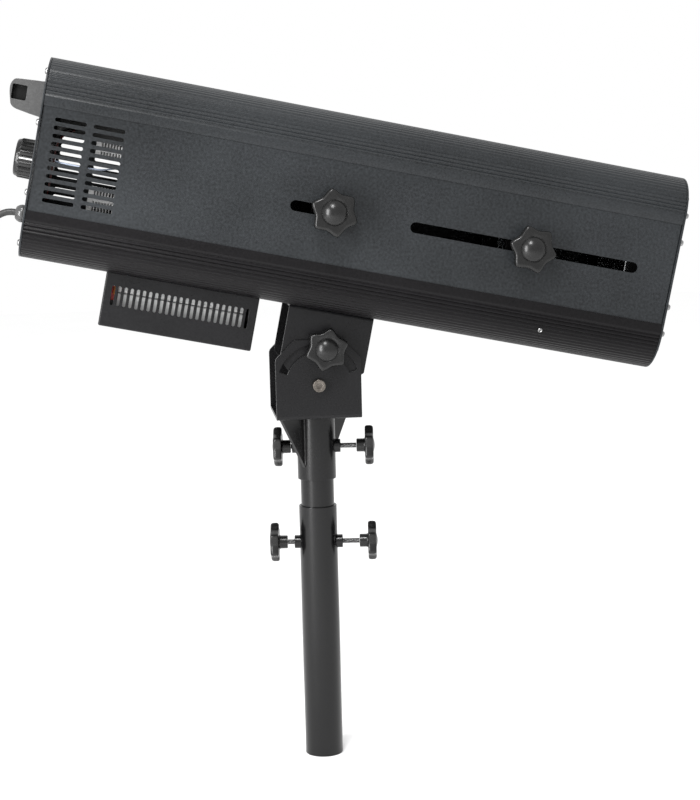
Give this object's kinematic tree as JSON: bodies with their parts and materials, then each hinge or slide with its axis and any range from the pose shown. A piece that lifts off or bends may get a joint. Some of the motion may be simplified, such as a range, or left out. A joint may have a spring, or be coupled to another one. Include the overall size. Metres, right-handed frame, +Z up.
{
  "type": "ellipsoidal spotlight",
  "caption": "Long profile follow spot with zoom and focus lens slides, rear handle, tilting clevis bracket and socket sleeve on a telescopic stand tube with star-grip clamps.",
  "frame": {"origin": "centre of the lower tube's open end at the foot, where the stand below would carry it", "axes": "+Z up along the stand tube, +X the horizontal direction the beam leaves, +Y across the head away from the lens slots"},
  "size_m": [0.7462, 0.2292, 0.739],
  "materials": {
    "shell_coat": "fine textured charcoal powder coat",
    "lower_coat": "fine textured black powder coat",
    "black_plastic": "moulded black plastic, satin to gloss",
    "soft_plastic": "matt black plastic",
    "bright_steel": "zinc plated",
    "bare_aluminium": "mill finish",
    "led_face": "phosphor yellow on white board",
    "mirror_face": "polished reflector",
    "clear_glass": "clear, coated",
    "driver_case": "stamped cover",
    "red_block": "moulded red",
    "lead_rubber": "smooth black sheath"
  },
  "bodies": {
    "stand": {"lower_tube": "lower_coat", "foot_plug": "soft_plastic"},
    "mast": {"inner_tube": "lower_coat"},
    "yoke": {"lower_bracket": "lower_coat", "pivot_bolt": "bright_steel", "pivot_nut": "bright_steel", "socket_sleeve": "lower_coat"},
    "head": {"top_extrusion": "shell_coat", "bottom_extrusion": "lower_coat", "near_side_panel": "shell_coat", "far_side_panel": "shell_coat", "front_plate": "shell_coat", "rear_plate": "shell_coat", "front_bezel": "black_plastic", "front_window": "clear_glass", "rear_handle": "black_plastic", "cable_gland": "black_plastic", "dimmer_control": "bright_steel", "fan_frame": "soft_plastic", "upper_fin_stack": "bare_aluminium", "lower_fin_stack": "bare_aluminium", "led_base": "bare_aluminium", "led_module": "led_face", "reflector": "mirror_face", "gate_plate": "lower_coat", "near_guide_rod": "bright_steel", "far_guide_rod": "bright_steel", "driver_box": "lower_coat", "driver_unit": "driver_case", "terminal_block": "red_block", "upper_bracket": "lower_coat", "front_screw_near_top": "bright_steel", "front_screw_far_top": "bright_steel", "front_screw_near_bottom": "bright_steel", "front_screw_far_bottom": "bright_steel", "lead_run": "lead_rubber", "lead_coil": "lead_rubber", "lead_tail": "lead_rubber", "coil_tie": "soft_plastic", "mains_plug": "lead_rubber"},
    "focus_slide": {"focus_carriage": "lower_coat", "focus_lens": "clear_glass"},
    "focus_screw": {"focus_grip": "black_plastic", "focus_stud": "bright_steel"},
    "zoom_slide": {"zoom_carriage": "lower_coat", "zoom_lens": "clear_glass"},
    "zoom_screw": {"zoom_grip": "black_plastic", "zoom_stud": "bright_steel"},
    "tilt_screw": {"tilt_lock_grip": "black_plastic", "tilt_lock_stud": "bright_steel"},
    "dimmer": {"dimmer_knob": "black_plastic"},
    "fan": {"fan_rotor": "soft_plastic"},
    "sleeve_left": {"sleeve_left_grip": "black_plastic", "sleeve_left_stud": "bright_steel"},
    "sleeve_right": {"sleeve_right_grip": "black_plastic", "sleeve_right_stud": "bright_steel"},
    "tube_left": {"tube_left_grip": "black_plastic", "tube_left_stud": "bright_steel"},
    "tube_right": {"tube_right_grip": "black_plastic", "tube_right_stud": "bright_steel"}
  },
  "joints": [
    {"name": "mast_height", "type": "slide", "parent": "stand", "child": "mast", "axis": [0, 0, 1], "range_m": [-0.026, 0.15]},
    {"name": "pan", "type": "hinge", "parent": "mast", "child": "yoke", "pos_m": [0, 0, 0.33], "axis": [0, 0, 1], "continuous": true},
    {"name": "tilt", "type": "hinge", "parent": "yoke", "child": "head", "pos_m": [0, 0, 0.4045], "axis": [0, 1, 0], "range_deg": [-67, 51]},
    {"name": "focus_travel", "type": "slide", "parent": "head", "child": "focus_slide", "axis": [0.9785, 0, -0.2062], "range_m": [-0.037, 0.013]},
    {"name": "focus_screw_turn", "type": "hinge", "parent": "focus_slide", "child": "focus_screw", "pos_m": [0.01383, -0.115, 0.58166], "axis": [0, 1, 0], "range_deg": [-630, 630]},
    {"name": "zoom_travel", "type": "slide", "parent": "head", "child": "zoom_slide", "axis": [0.9785, 0, -0.2062], "range_m": [-0.117, 0.107]},
    {"name": "zoom_screw_turn", "type": "hinge", "parent": "zoom_slide", "child": "zoom_screw", "pos_m": [0.21051, -0.115, 0.54021], "axis": [0, 1, 0], "range_deg": [-630, 630]},
    {"name": "tilt_screw_turn", "type": "hinge", "parent": "head", "child": "tilt_screw", "pos_m": [0.00794, -0.06, 0.44217], "axis": [0, 1, 0], "range_deg": [-630, 630]},
    {"name": "dimmer_turn", "type": "hinge", "parent": "head", "child": "dimmer", "pos_m": [-0.29219, 0, 0.64257], "axis": [0.9785, 0, -0.2062], "range_deg": [0, 300]},
    {"name": "fan_spin", "type": "hinge", "parent": "head", "child": "fan", "pos_m": [-0.2069, 0, 0.66905], "axis": [0.2062, 0, 0.9785], "continuous": true},
    {"name": "sleeve_left_turn", "type": "hinge", "parent": "yoke", "child": "sleeve_left", "pos_m": [-0.03573, 0.00439, 0.3337], "axis": [0.9925, -0.1219, 0], "range_deg": [-630, 630]},
    {"name": "sleeve_right_turn", "type": "hinge", "parent": "yoke", "child": "sleeve_right", "pos_m": [0.04963, -0.00609, 0.3337], "axis": [0.9925, -0.1219, 0], "range_deg": [-630, 630]},
    {"name": "tube_left_turn", "type": "hinge", "parent": "stand", "child": "tube_left", "pos_m": [-0.0397, 0.00487, 0.231], "axis": [0.9925, -0.1219, 0], "range_deg": [-630, 630]},
    {"name": "tube_right_turn", "type": "hinge", "parent": "stand", "child": "tube_right", "pos_m": [0.04963, -0.00609, 0.231], "axis": [0.9925, -0.1219, 0], "range_deg": [-630, 630]}
  ]
}
